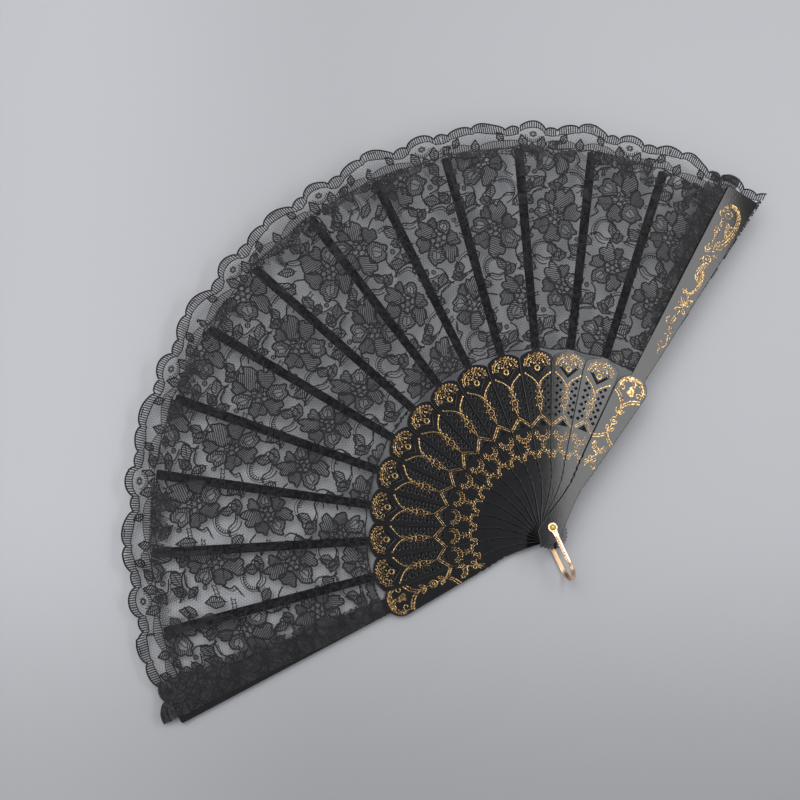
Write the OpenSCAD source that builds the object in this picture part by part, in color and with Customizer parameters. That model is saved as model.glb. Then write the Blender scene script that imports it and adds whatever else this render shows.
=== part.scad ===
// Folding hand fan: two guards and twelve thin sticks on one rivet, a pleated
// lace leaf over the upper sticks, and a swinging bail for a cord or tassel.
// The rivet's axis is Z through the origin. The open fan spreads about +Y and
// lies flat, the rear guard lowest and the front guard on top.

/* [Spread] */
// Angle from one inner stick to the next when the fan is open
inner_gap = 11.27; // [8:0.01:12]
// Angle from the rear guard to the first inner stick
rear_gap = 10; // [8:0.1:12]
// Angle from the last inner stick to the front guard
front_gap = 12.2; // [8:0.1:13]
// Length of a guard from the rivet to its tip
guard_len = 230; // [200:1:260]
// Length of an inner stick from the rivet to its tip
stick_len = 221.5; // [190:0.5:225]

/* [Gorge] */
// Radius at which the widening, pierced part of a stick starts
gorge_start = 46; // [42:1:50]
// Radius of the centre of a guard's round shoulder
shoulder_r = 92; // [86:1:94]
// Half width of an inner stick at its shoulder
stick_shoulder = 9.9; // [9:0.1:10.2]
// Half width of a guard at its shoulder
guard_shoulder = 9.4; // [8.5:0.1:10]
// Radius of the arch that closes an inner stick's shoulder
arch_r = 14; // [11:0.5:18]
// Half width of an inner stick where its gorge starts
stick_waist = 5; // [4:0.1:5]
// Half width of a guard where its gorge starts
guard_waist = 5.5; // [4.5:0.1:6]
// Half width of an inner stick's shank at its narrowest
stick_shank = 2.9; // [2.4:0.1:3.2]
// Half width of a guard's shank at its narrowest
guard_shank = 3.7; // [3:0.1:4]
// Half width of an inner stick beside the rivet
stick_knuckle = 5.8; // [5:0.1:6.2]
// Half width of a guard beside the rivet
guard_knuckle = 6.2; // [5:0.1:6.5]
// Length of the pointed foot behind the rivet on an inner stick
stick_foot = 12; // [10:0.1:12.5]
// Length of the pointed foot behind the rivet on a guard
guard_foot = 12.8; // [11:0.1:13]
// Width across a pierced hole, measured along its diagonal
hole_diag = 1.7; // [1:0.1:2]

/* [Blades] */
// Half width of a guard's blade where it leaves the shoulder
blade_root = 4.3; // [3.5:0.1:5]
// Half width of a guard's blade at its tip
blade_tip = 10.2; // [8:0.1:11]
// Half width of an inner stick's rib where it leaves the shoulder
rib_root = 2.4; // [2:0.1:2.8]
// Half width of an inner stick's rib at its tip
rib_tip = 2.8; // [2.2:0.1:3]

/* [Stack] */
// Thickness of a guard
guard_t = 2.2; // [1.8:0.1:2.6]
// Thickness of an inner stick at the gorge
stick_t = 1.1; // [0.9:0.05:1.2]
// Free gap between neighbouring sticks
stick_gap = 0.1; // [0.08:0.01:0.2]
// Depth by which a rib or the rear blade is lowered to make room for the lace
lace_step = 0.45; // [0.4:0.05:0.5]

/* [Rivet and bail] */
// Radius of the rivet's shaft
shaft_r = 1.1; // [1:0.05:1.2]
// Radial clearance of the sticks and the bail on the shaft
shaft_clear = 0.06; // [0.04:0.01:0.1]
// Radius of the rivet's flat lower head
foot_head_r = 2.5; // [2.2:0.1:2.8]
// Radius of the rivet's domed upper head
cap_r = 1.8; // [1.6:0.1:2.2]
// Width of the bail's strip
bail_w = 2.7; // [2.2:0.1:3]
// Thickness of the bail's strip
bail_t = 0.9; // [0.7:0.1:1]
// Radius of the bail's eyelets
eyelet_r = 2.8; // [2.5:0.1:3.2]
// Reach of the bail from the rivet's axis to the outside of its bend
bail_reach = 31.5; // [28:0.1:34]
// Direction in which the bail points at rest, from +X
bail_angle = -108; // [-160:1:-40]

/* [Lace] */
// Radius of the lace's inner edge
lace_in = 104; // [103:1:106]
// Radius of the lace's outer edge
lace_out = 238; // [234:1:240]
// Thickness of the lace
lace_t = 0.3; // [0.2:0.05:0.35]

/* [Hidden] */
$fn = 64;
eps = 0.01;

n_sticks = 12;
gaps = n_sticks + 1;

// Direction of stick k from +X; 0 is the rear guard and 13 the front guard
function stick_angle(k) =
    k == 0 ? stick_angle(1) + rear_gap
    : k == gaps ? stick_angle(n_sticks) - front_gap
    : 90 + (gaps / 2 - k) * inner_gap;

head_t = 1.0;
play = 0.05;
bail_z0 = head_t + play;
rear_z = bail_z0 + bail_t + play;
first_stick_z = rear_z + guard_t + stick_gap;
pitch = stick_t + stick_gap;
front_z = first_stick_z + n_sticks * pitch;
bail_z1 = front_z + guard_t + play;
cap_z = bail_z1 + bail_t + play;
cap_t = 1.3;
shaft_top = cap_z + 0.8;
bore_r = shaft_r + shaft_clear;

// Half width of a stick at distance s from the rivet. widths holds its foot's
// length and its half widths at the knuckle, shank, waist and shoulder.
shank_r = 26;
foot_share = 0.45;
function half_width(s, widths) =
    let (foot = widths[0], knuckle = widths[1], shank = widths[2],
        waist = widths[3], shoulder = widths[4], heel = -foot_share * foot)
    s < heel ? line(s, -foot, heel, 0, knuckle)
    : s < shank_r ? ease(s, heel, shank_r, knuckle, shank)
    : s < gorge_start ? ease(s, shank_r, gorge_start, shank, waist)
    : line(s, gorge_start, shoulder_r, waist, shoulder);
stick_widths = [stick_foot, stick_knuckle, stick_shank, stick_waist, stick_shoulder];
guard_widths = [guard_foot, guard_knuckle, guard_shank, guard_waist, guard_shoulder];
function line(s, s0, s1, w0, w1) = w0 + (w1 - w0) * (s - s0) / (s1 - s0);
function ease(s, s0, s1, w0, w1) =
    w0 + (w1 - w0) * (1 - cos(180 * (s - s0) / (s1 - s0))) / 2;

// Shallow scallops cut along both edges just inside the gorge
scallop_from = 28;
scallop_step = 4;
scallops = 4;
scallop_depth = 0.5;
function scallop_at(s) =
    s < scallop_from || s > scallop_from + scallops * scallop_step ? 0
    : scallop_depth * (1 - abs(sin(180 * (s - scallop_from) / scallop_step)));

function side_stations(foot) = concat(
    [-foot, -foot_share * foot, -foot_share * foot / 2],
    [for (s = [0 : 4 : scallop_from - 4]) s],
    [for (s = [scallop_from : 1 : gorge_start]) s],
    [shoulder_r]);

module lower_outline(widths) {
    stations = side_stations(widths[0]);
    right = [for (s = stations) [half_width(s, widths) - scallop_at(s), s]];
    left = [for (i = [len(right) - 1 : -1 : 1]) [-right[i][0], right[i][1]]];
    polygon(concat(right, left));
}

// The arched head over an inner stick's gorge
arch_top = 102.3;
module arched_head() {
    intersection() {
        translate([0, arch_top - arch_r]) circle(r = arch_r);
        translate([-stick_shoulder, shoulder_r - eps])
            square([2 * stick_shoulder, arch_r]);
    }
}

module tapered_blade(from, to, root, tip, chamfer) {
    polygon([
        [root, from], [tip, to - chamfer], [tip - chamfer, to],
        [chamfer - tip, to], [-tip, to - chamfer], [-root, from]]);
}

// Pierced work: staggered diamond holes on both sides of the centre line
hole_pitch = 4.05;
hole_rows = 6;
hole_from = 67;
column_in = 2.8;
column_out = 4.9;
column_lean = 0.05;

module diamond() {
    rotate(45) square(hole_diag / sqrt(2), center = true);
}

module pierced_work() {
    for (side = [-1, 1], row = [0 : hole_rows - 1]) {
        s = hole_from + row * hole_pitch;
        lean = column_lean * (s - hole_from);
        translate([side * (column_out + lean), s]) diamond();
        if (row < hole_rows - 2)
            translate([side * (column_in + lean), s + hole_pitch / 2]) diamond();
    }
    // Triangular window under the pierced field
    polygon([[0, 64.2], [3, 61], [-3, 61]]);
    // Bent slot under the shoulder's ornament
    polygon([[-5.1, 94.5], [0, 89.2], [5.1, 94.5], [5.1, 92.9], [0, 87.6], [-5.1, 92.9]]);
}

module pivot_bore() {
    translate([0, 0, -eps]) cylinder(r = bore_r, h = guard_t + 2 * eps);
}

// An inner stick, its rivet hole at the origin and its rib along +Y
rib_start = 97;
module stick_blank() {
    difference() {
        union() {
            linear_extrude(stick_t) difference() {
                union() {
                    lower_outline(stick_widths);
                    arched_head();
                }
                pierced_work();
            }
            linear_extrude(stick_t - lace_step)
                tapered_blade(rib_start, stick_len, rib_root, rib_tip, 0.8);
        }
        pivot_bore();
    }
}

// A guard: the same foot, shank and shoulder, and a wide plain blade
module guard_blank(blade_t) {
    difference() {
        union() {
            linear_extrude(guard_t) {
                lower_outline(guard_widths);
                translate([0, shoulder_r]) circle(r = guard_shoulder);
            }
            linear_extrude(blade_t)
                tapered_blade(shoulder_r + 4, guard_len, blade_root, blade_tip, 1);
        }
        pivot_bore();
    }
}

module placed(k, z) {
    rotate(stick_angle(k) - 90) translate([0, 0, z]) children();
}

module stick(k) {
    color("#1b1b1d") placed(k, first_stick_z + (k - 1) * pitch) stick_blank();
}

module guard_rear() {
    color("#1b1b1d") placed(0, rear_z) guard_blank(guard_t - lace_step);
}

module guard_front() {
    color("#232326") placed(gaps, front_z) guard_blank(guard_t);
}

// Rivet: a flat-headed pin, and the domed cap closed over its other end
module rivet_pin() {
    color("#c9a04e") union() {
        cylinder(r = foot_head_r, h = head_t);
        cylinder(r = shaft_r, h = shaft_top);
    }
}

module rivet_cap() {
    dome_r = (cap_r * cap_r + cap_t * cap_t) / (2 * cap_t);
    color("#d9ae55") difference() {
        intersection() {
            translate([0, 0, cap_z + cap_t - dome_r]) sphere(r = dome_r);
            translate([0, 0, cap_z]) cylinder(r = cap_r + 1, h = cap_t);
        }
        cylinder(r = shaft_r, h = shaft_top);
    }
}

// Bail: one strip bent to a U round the whole stack, an eyelet at each end
bail_outer_r = (bail_z1 + bail_t - bail_z0) / 2;
bail_mid_z = bail_z0 + bail_outer_r;
bend_at = bail_reach - bail_outer_r;

module bail_profile() {
    difference() {
        union() {
            translate([0, bail_z0]) square([bend_at, 2 * bail_outer_r]);
            translate([bend_at, bail_mid_z]) circle(r = bail_outer_r);
        }
        translate([-eps, bail_z0 + bail_t])
            square([bend_at + eps, 2 * (bail_outer_r - bail_t)]);
        translate([bend_at, bail_mid_z]) circle(r = bail_outer_r - bail_t);
    }
}

module bail() {
    color("#d8a878") rotate(bail_angle) difference() {
        union() {
            translate([0, bail_w / 2, 0]) rotate([90, 0, 0])
                linear_extrude(bail_w) bail_profile();
            for (z = [bail_z0, bail_z1])
                translate([0, 0, z]) cylinder(r = eyelet_r, h = bail_t);
        }
        cylinder(r = bore_r, h = cap_z);
    }
}

// Lace leaf: one panel for each gap, from a stick's centre line to the next.
// It lies on the lower stick and passes under the upper one.
// On the rear guard it leaves a bare strip; it peeps out beside the front guard.
rear_edge_in = 4.3;
rear_edge_out = 6.6;
front_edge_in = -3.9;
front_edge_out = -11.9;
panel_lift = 0.05;
overrun = 10;

// A point given by its distance along stick k and its offset to the left of it
function on_stick(k, s, t) =
    let (a = stick_angle(k))
    [s * cos(a) - t * sin(a), s * sin(a) + t * cos(a)];

module lace_panel(k) {
    low = k - 1;
    z = low == 0 ? rear_z + guard_t - lace_step
        : first_stick_z + (low - 1) * pitch + stick_t - lace_step;
    left = k == 1 ? [rear_edge_in, rear_edge_out] : [0, 0];
    right = k == gaps ? [front_edge_in, front_edge_out] : [0, 0];
    color("#2c2c2f", 0.8) translate([0, 0, z + panel_lift])
        linear_extrude(lace_t) intersection() {
            difference() {
                circle(r = lace_out);
                circle(r = lace_in);
            }
            polygon([
                on_stick(low, lace_in - overrun, left[0]),
                on_stick(low, lace_out + overrun, left[1]),
                on_stick(k, lace_out + overrun, right[1]),
                on_stick(k, lace_in - overrun, right[0])]);
        }
}

function two_digits(k) = str(k < 10 ? "0" : "", k);

guard_rear();
for (k = [1 : n_sticks])
    stick(k);
guard_front();
rivet_pin();
rivet_cap();
bail();
for (k = [1 : gaps])
    lace_panel(k);
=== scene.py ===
import bpy
from math import acos, atan, cos, degrees, exp, floor, hypot, pi, radians, remainder, sin, tan
import numpy as np
from mathutils import Matrix, Vector


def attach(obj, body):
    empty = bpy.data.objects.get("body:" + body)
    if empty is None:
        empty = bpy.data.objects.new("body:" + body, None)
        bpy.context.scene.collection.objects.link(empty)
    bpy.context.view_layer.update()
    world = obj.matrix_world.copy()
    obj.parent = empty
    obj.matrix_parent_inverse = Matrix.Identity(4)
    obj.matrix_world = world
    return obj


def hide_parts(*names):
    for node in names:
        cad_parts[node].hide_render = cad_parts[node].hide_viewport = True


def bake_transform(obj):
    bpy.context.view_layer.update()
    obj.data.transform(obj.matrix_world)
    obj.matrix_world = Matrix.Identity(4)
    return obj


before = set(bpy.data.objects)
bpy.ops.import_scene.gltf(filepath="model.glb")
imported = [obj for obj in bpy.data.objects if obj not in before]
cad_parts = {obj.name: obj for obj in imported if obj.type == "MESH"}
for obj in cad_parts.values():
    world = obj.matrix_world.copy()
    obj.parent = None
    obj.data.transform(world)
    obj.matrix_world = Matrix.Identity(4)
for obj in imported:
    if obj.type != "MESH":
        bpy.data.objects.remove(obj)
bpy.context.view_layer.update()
scene = bpy.context.scene
scene.view_settings.view_transform = "Standard"
MM = 0.001
rng = np.random.default_rng(7)

# ---- dimensions, in mm and degrees
INNER_GAP, REAR_GAP, FRONT_GAP = 11.27, 10.0, 12.2
N = 12
# thickness of a guard and a stick, step down to the rib, and rise from one stick to the next
GUARD_T, STICK_T, STEP, PITCH = 2.2, 1.1, 0.45, 1.2
REAR_Z, FIRST_Z = 2.0, 4.3
FRONT_Z = FIRST_Z + N * PITCH
BAIL_Z0, BAIL_T = 1.05, 0.9
BAIL_Z1 = FRONT_Z + GUARD_T + 0.05
BAIL_ANGLE, BAIL_REACH, BAIL_W, EYELET_R = -108.0, 31.5, 2.7, 2.8
STICK_LEN, GUARD_LEN = 221.5, 230.0
# where the lace starts, over the shoulders
LACE_IN = 102.8


def stick_angle(k):
    if k == 0:
        return stick_angle(1) + REAR_GAP
    if k == N + 1:
        return stick_angle(N) - FRONT_GAP
    return 90 + (6.5 - k) * INNER_GAP


def stick_z(k):
    return REAR_Z if k == 0 else FRONT_Z if k == N + 1 else FIRST_Z + (k - 1) * PITCH


def body(k):
    if k == 0:
        return "rear_guard_body"
    return "front_guard_body" if k == N + 1 else f"stick_{k:02d}_body"


def unit(deg):
    return cos(radians(deg)), sin(radians(deg))


def placed(pts, x, y, deg):
    """Points turned by deg degrees and moved to (x, y)."""
    c, s = unit(deg)
    return [(x + u * c - v * s, y + u * s + v * c) for u, v in pts]


def linked(name, data):
    o = bpy.data.objects.new(name, data)
    scene.collection.objects.link(o)
    return o


def mesh_from(name, vertices, faces, mat):
    """A mesh from vertices in mm."""
    me = bpy.data.meshes.new(name)
    me.from_pydata([tuple(c * MM for c in v) for v in vertices], [], faces)
    me.materials.append(mat)
    return me


def put_on(obj, k):
    """Turns a piece made along +Y, in metres, onto stick k."""
    obj.matrix_world = (Matrix.Rotation(radians(stick_angle(k) - 90), 4, "Z")
                        @ Matrix.Translation((0, 0, stick_z(k) * MM)))


# ---- materials
def material(name, colour, rough, metal=0.0, **sockets):
    m = bpy.data.materials.new(name)
    m.use_nodes = True
    p = m.node_tree.nodes["Principled BSDF"]
    p.inputs["Base Color"].default_value = (*colour, 1)
    p.inputs["Roughness"].default_value = rough
    p.inputs["Metallic"].default_value = metal
    for s, v in sockets.items():
        p.inputs[s.replace("_", " ")].default_value = v
    return m, m.node_tree, p


def noise(nt, scale, detail=3.0, rough=0.55):
    co = nt.nodes.new("ShaderNodeTexCoord")
    n = nt.nodes.new("ShaderNodeTexNoise")
    n.inputs["Scale"].default_value = scale
    n.inputs["Detail"].default_value = detail
    n.inputs["Roughness"].default_value = rough
    nt.links.new(co.outputs["Object"], n.inputs["Vector"])
    return n.outputs["Fac"]


def ramp(nt, source, *stops):
    r = nt.nodes.new("ShaderNodeValToRGB")
    while len(r.color_ramp.elements) < len(stops):
        r.color_ramp.elements.new(0.5)
    for e, (pos, c) in zip(r.color_ramp.elements, stops):
        e.position = pos
        e.color = (*c, 1) if isinstance(c, tuple) else (c, c, c, 1)
    nt.links.new(source, r.inputs["Fac"])
    return r.outputs["Color"]


def colour_ramp(nt, p, source, *stops):
    nt.links.new(ramp(nt, source, *stops), p.inputs["Base Color"])


def roughness_ramp(nt, p, source, *stops):
    nt.links.new(ramp(nt, source, *stops), p.inputs["Roughness"])


def bump(nt, p, source, distance, strength):
    b = nt.nodes.new("ShaderNodeBump")
    b.inputs["Distance"].default_value = distance
    b.inputs["Strength"].default_value = strength
    nt.links.new(source, b.inputs["Height"])
    nt.links.new(b.outputs["Normal"], p.inputs["Normal"])


def plastic_material():
    m, nt, p = material("black_plastic", (0.006, 0.006, 0.0065), 0.18, Specular_IOR_Level=0.5)
    colour_ramp(nt, p, noise(nt, 60), (0.3, (0.005, 0.005, 0.0055)), (0.7, (0.010, 0.0095, 0.010)))
    fine = noise(nt, 900, 2)
    roughness_ramp(nt, p, fine, (0.3, 0.07), (0.75, 0.11))
    bump(nt, p, fine, 0.00002, 0.5)
    return m


def gold_material():
    m, nt, p = material("gold_print", (0.8, 0.55, 0.25), 0.4, 1.0)
    n = noise(nt, 1100)
    colour_ramp(nt, p, n, (0.37, (0.04, 0.02, 0.008)), (0.50, (0.34, 0.20, 0.08)),
                (0.68, (0.83, 0.61, 0.29)))
    roughness_ramp(nt, p, n, (0.3, 0.28), (0.8, 0.15))
    bump(nt, p, n, 0.0001, 0.45)
    return m


def metal_material(name, dark, light, rough, scale):
    m, nt, p = material(name, light, rough, 1.0)
    n = noise(nt, scale)
    colour_ramp(nt, p, n, (0.3, dark), (0.7, light))
    roughness_ramp(nt, p, n, (0.3, rough + 0.12), (0.7, rough))
    bump(nt, p, n, 0.00008, 0.5)
    return m


def lace_material(name, dark, light, sheen):
    m, nt, p = material(name, dark, 0.6, Sheen_Weight=sheen, Sheen_Roughness=0.4,
                        Specular_IOR_Level=0.35)
    colour_ramp(nt, p, noise(nt, 260, 4, 0.65), (0.3, dark), (0.7, light))
    bump(nt, p, noise(nt, 3000, 1), 0.00004, 0.6)
    return m


def rib_material():
    """The ribs' dull black, mottled by the glued lace that covers them."""
    m, nt, p = material("matt_rib", (0.006, 0.006, 0.0065), 0.7, Specular_IOR_Level=0.12)
    n = noise(nt, 700, 2, 0.6)
    colour_ramp(nt, p, n, (0.42, (0.003, 0.003, 0.0035)), (0.62, (0.022, 0.0216, 0.023)))
    bump(nt, p, n, 0.0002, 0.6)
    return m


def painted_edge_highlight_material():
    """A lighter, shinier black for the moulding's upper edges: a painted highlight, so that they catch more
    light than its faces.
    """
    m, nt, p = material("painted_edge_highlight", (0.03, 0.03, 0.032), 0.3, Specular_IOR_Level=1.0)
    colour_ramp(nt, p, noise(nt, 250), (0.35, (0.012, 0.012, 0.013)), (0.65, (0.055, 0.055, 0.058)))
    return m


PLASTIC = plastic_material()
EDGE_HIGHLIGHT = painted_edge_highlight_material()
MATT = rib_material()
GOLD = gold_material()
BRASS = metal_material("rivet_brass", (0.72, 0.38, 0.06), (1.0, 0.74, 0.20), 0.42, 900)
# a darker, rougher copy of the gilt for the inside of the bail's loop: painted shade under its upper arm
GILT_PAINTED_SHADE = metal_material("bail_gilt_painted_shade", (0.80, 0.50, 0.30), (0.90, 0.62, 0.40), 0.38, 60)
GILT = metal_material("bail_gilt", (0.80, 0.50, 0.32), (0.95, 0.74, 0.55), 0.16, 500)
YARN = lace_material("lace_yarn", (0.018, 0.018, 0.0195), (0.046, 0.045, 0.049), 0.22)
CORD = lace_material("lace_cord", (0.003, 0.003, 0.0035), (0.008, 0.008, 0.009), 0.05)


# ---- stick outlines
def line(s, s0, s1, w0, w1):
    return w0 + (w1 - w0) * (s - s0) / (s1 - s0)


def ease(s, s0, s1, w0, w1):
    return w0 + (w1 - w0) * (1 - cos(pi * (s - s0) / (s1 - s0))) / 2


# places along a stick, in mm from the rivet's axis
SHANK_S, WAIST_S, SHOULDER_S = 26, 46, 92
FLUTE_START, FLUTE_END, FLUTE_PITCH, FLUTE_DEPTH = 28, 44, 4, 0.5
# the arch that closes a stick's gorge, and the half-width of the rib above it
ARCH_TOP, ARCH_R, RIB_HALF = 102.3, 14.0, 2.55
BORE_R = 1.2
# half-widths, and the length of the foot behind the rivet
STICK = dict(foot=12.0, knuckle=5.8, shank=2.9, waist=5.0, shoulder=9.9)
GUARD = dict(foot=12.8, knuckle=6.2, shank=3.7, waist=5.5, shoulder=9.4)


def half_width(s, d):
    heel = -0.45 * d["foot"]
    if s < heel:
        w = line(s, -d["foot"], heel, 0, d["knuckle"])
    elif s < SHANK_S:
        w = ease(s, heel, SHANK_S, d["knuckle"], d["shank"])
    elif s < WAIST_S:
        w = ease(s, SHANK_S, WAIST_S, d["shank"], d["waist"])
    else:
        w = line(s, WAIST_S, SHOULDER_S, d["waist"], d["shoulder"])
    if FLUTE_START <= s <= FLUTE_END:
        w -= FLUTE_DEPTH * (1 - abs(sin(pi * (s - FLUTE_START) / FLUTE_PITCH)))
    return w


def lower_right(d):
    heel = -0.45 * d["foot"]
    st = [-d["foot"], -0.9 * d["foot"], (-d["foot"] + heel) / 2, heel, heel / 2]
    st += [float(s) for s in range(0, FLUTE_START, 2)]
    st += [FLUTE_START + 0.5 * i for i in range(2 * (FLUTE_END - FLUTE_START) + 1)]
    st += [float(s) for s in range(WAIST_S, SHOULDER_S + 1, 2)]
    pts = [(half_width(s, d), s) for s in st]
    pts[0] = (0.35, -d["foot"] + 0.1)
    return pts


def closed(right):
    """Both sides of an outline from its right side."""
    return right + [(-x, y) for x, y in reversed(right)]


def inner_outline():
    shoulder = STICK["shoulder"]
    a0 = acos(shoulder / ARCH_R) + 0.06
    arch = []
    for i in range(12):
        a = a0 + (pi / 2 - a0) * i / 12
        arch.append((ARCH_R * cos(a), ARCH_TOP - ARCH_R + ARCH_R * sin(a)))
    rib = [(RIB_HALF, 102.05), (2.4, 103.2), (2.8, STICK_LEN - 0.8), (2.0, STICK_LEN)]
    return closed(lower_right(STICK) + [(shoulder, 97.2)] + [p for p in arch if p[0] > RIB_HALF] + rib)


def ring(cx, cy, r, n=24):
    return [(cx + r * cos(2 * pi * i / n), cy + r * sin(2 * pi * i / n))
            for i in range(n)]


def flat_piece(name, outlines, z0, z1, bevel, mat):
    """A bevelled plate from closed outlines in mm; inner outlines are holes."""
    c = bpy.data.curves.new(name, "CURVE")
    c.dimensions = "2D"
    c.fill_mode = "BOTH"
    for pts in outlines:
        sp = c.splines.new("POLY")
        sp.points.add(len(pts) - 1)
        for p, (x, y) in zip(sp.points, pts):
            p.co = (x * MM, y * MM, 0, 1)
        sp.use_cyclic_u = True
    c.bevel_depth = bevel * MM
    c.bevel_resolution = 3
    c.offset = -bevel * MM
    c.extrude = ((z1 - z0) / 2 - bevel) * MM
    o = linked(name, c)
    bpy.context.view_layer.update()
    me = bpy.data.meshes.new_from_object(o.evaluated_get(bpy.context.evaluated_depsgraph_get()))
    bpy.data.objects.remove(o)
    me.transform(Matrix.Translation((0, 0, (z0 + z1) / 2 * MM)))
    me.materials.clear()
    me.materials.append(mat)
    me.shade_smooth()
    me.set_sharp_from_angle(angle=radians(50))
    me.name = name
    return me


# from the first to the last opening of a stick and to either side, in mm
PIERCED_START, PIERCED_END, PIERCED_HALF = 58, 95.5, 6


def finish_moulding(me, ribbed):
    """Polished faces, dull side walls, a dull rib if ribbed, and a painted highlight on the upper face's
    edges.
    """
    for m in (MATT, EDGE_HIGHLIGHT):
        me.materials.append(m)
    for p in me.polygons:
        x, y, z = p.center / MM
        if ribbed and y > LACE_IN or abs(p.normal.z) < 0.3:
            p.material_index = 1
        # bevels of the upper face outside the pierced work take the painted edge highlight
        elif p.normal.z < 0.96 and z > STICK_T / 2 and y < LACE_IN:
            pierced = ribbed and PIERCED_START < y < PIERCED_END and abs(x) < PIERCED_HALF
            p.material_index = 0 if pierced else 2


def step_down(me, start, thick):
    """Thins a plate by STEP from start mm outwards, where the lace lies on it."""
    for v in me.vertices:
        if v.co.y > start * MM and v.co.z > thick / 2 * MM:
            v.co.z -= STEP * MM


def piece(name, me, k, rides, stands_for=()):
    o = linked(name, me)
    if k is not None:
        put_on(o, k)
    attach(o, rides)
    if stands_for:
        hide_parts(*stands_for)


def diamond(cx, cy, d):
    return [(cx, cy - d), (cx + d, cy), (cx, cy + d), (cx - d, cy)]


def pierced_work():
    """Outlines of the openings in a stick: two columns of diamonds a side, a triangle, a bent slot."""
    holes = []
    for side in (-1, 1):
        for row in range(6):
            s = 64.6 + 4.2 * row
            lean = 0.05 * (s - 64.6)
            holes.append(diamond(side * (4.6 + lean), s, 0.95))
            if row < 5:
                holes.append(diamond(side * (2.7 + lean), s + 2.1, 0.8))
    holes.append([(0, 61.9), (-2.6, 59.0), (2.6, 59.0)])
    holes.append([(-5.0, 94.0), (-5.6, 92.8), (0, 86.9), (5.6, 92.8), (5.0, 94.0), (0, 88.6)])
    return holes


def painted_shade_mesh():
    """Thin dark sheets at half thickness across the openings: painted shade, standing in for the shadow
    seen through them.
    """
    v, f = [], []
    for hole in pierced_work():
        cx = sum(x for x, _ in hole) / len(hole)
        cy = sum(y for _, y in hole) / len(hole)
        start = len(v)
        v += [(cx + 1.08 * (x - cx), cy + 1.08 * (y - cy), 0.3) for x, y in hole]
        f.append(tuple(range(start, len(v))))
    return mesh_from("painted_shade_sheet", v, f, MATT)


# ---- strokes of gilt print
GILT_BASE, GILT_RISE = 0.015, 0.085


class Print:
    """Collects raised strokes and dots, in mm, and makes one mesh of them."""

    def __init__(self, bold):
        self.v, self.f = [], []
        self.bold = bold

    def stroke(self, pts, w, taper=False):
        pts = np.array(pts, float)
        n = len(pts)
        d = np.gradient(pts, axis=0)
        d /= np.maximum(np.linalg.norm(d, axis=1, keepdims=True), 1e-9)
        nrm = np.stack([-d[:, 1], d[:, 0]], -1)
        t = np.linspace(0, 1, n)
        half = np.full(n, 0.5 * self.bold * w)
        if taper:
            half = half * (0.25 + 0.75 * np.sin(np.pi * np.clip(t, 0.03, 0.97)))
        base = len(self.v)
        for p, q, h in zip(pts, nrm, half):
            a, b = p + q * h, p - q * h
            crown = min(GILT_RISE, GILT_BASE + 0.24 * h)
            self.v += [(a[0], a[1], GILT_BASE), (p[0], p[1], crown), (b[0], b[1], GILT_BASE)]
        for i in range(n - 1):
            o = base + 3 * i
            self.f += [(o, o + 1, o + 4, o + 3), (o + 1, o + 2, o + 5, o + 4)]

    def mirrored(self, pts, w):
        self.stroke(pts, w)
        self.stroke([(-x, y) for x, y in pts], w)

    def curve(self, w, *pts):
        self.stroke(smooth(pts), w)

    def twin(self, w, *pts):
        self.mirrored(smooth(pts), w)

    def rays(self, inner, outer, angles, w):
        """Short strokes between two arcs, each given as centre y, radius across, radius along."""
        for a in angles:
            c, s = unit(a)
            self.stroke([(rx * c, y + ry * s) for y, rx, ry in (inner, outer)], w)

    def loop(self, x0, y0, x1, y1, width):
        """A pointed loop between two points."""
        nx, ny = (y0 - y1), (x1 - x0)
        ln = hypot(nx, ny)
        for side in (-width, width):
            mid = ((x0 + x1) / 2 + side * nx / ln, (y0 + y1) / 2 + side * ny / ln)
            self.curve(0.5, (x0, y0), mid, (x1, y1))

    def dot(self, x, y, r):
        base = len(self.v)
        n = 10
        self.v.append((x, y, GILT_RISE))
        self.v += [(px, py, GILT_BASE) for px, py in ring(x, y, r, n)]
        self.f += [(base, base + 1 + i, base + 1 + (i + 1) % n) for i in range(n)]

    def mesh(self, name):
        me = mesh_from(name, self.v, self.f, GOLD)
        me.shade_smooth()
        me.update()
        return me


def arc(cx, cy, r, a0, a1, ry=None, n=None):
    n = n or max(5, int(abs(a1 - a0) / 12))
    ry = r if ry is None else ry
    return [(cx + r * cos(radians(a)), cy + ry * sin(radians(a)))
            for a in np.linspace(a0, a1, n)]


def spiral(cx, cy, r0, r1, a0, a1):
    n = max(8, int(abs(a1 - a0) / 15))
    return [(cx + r * cos(radians(a)), cy + r * sin(radians(a)))
            for r, a in zip(np.linspace(r0, r1, n), np.linspace(a0, a1, n))]


def smooth(pts, n=8):
    """A Catmull-Rom curve through a few given points."""
    p = np.array([pts[0]] + list(pts) + [pts[-1]], float)
    out = []
    for i in range(1, len(p) - 2):
        for t in np.linspace(0, 1, n, endpoint=False):
            out.append(0.5 * (2 * p[i] + (p[i + 1] - p[i - 1]) * t
                              + (2 * p[i - 1] - 5 * p[i] + 4 * p[i + 1] - p[i + 2]) * t ** 2
                              + (3 * p[i] - p[i - 1] - 3 * p[i + 1] + p[i + 2]) * t ** 3))
    out.append(p[-2])
    return [tuple(q) for q in out]


def chain(g, links):
    for y, rx, ry in links:
        g.stroke(arc(0, y, rx, 0, 360, ry, 17), 0.5)
        if rx > 1.3:
            g.dot(0, y, 0.45)


def crescent(g, y, r):
    g.stroke(arc(0, y, r, 158, 382), 0.5)
    g.stroke(arc(0, y + 0.9, r - 1.6, 166, 374), 0.45)
    g.rays((y, r, r), (y + 0.9, r - 1.6, r - 1.6), range(176, 365, 21), 0.42)
    g.rays((y, r, r), (y, r + 0.8, r + 0.8), range(190, 351, 32), 0.35)


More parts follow.
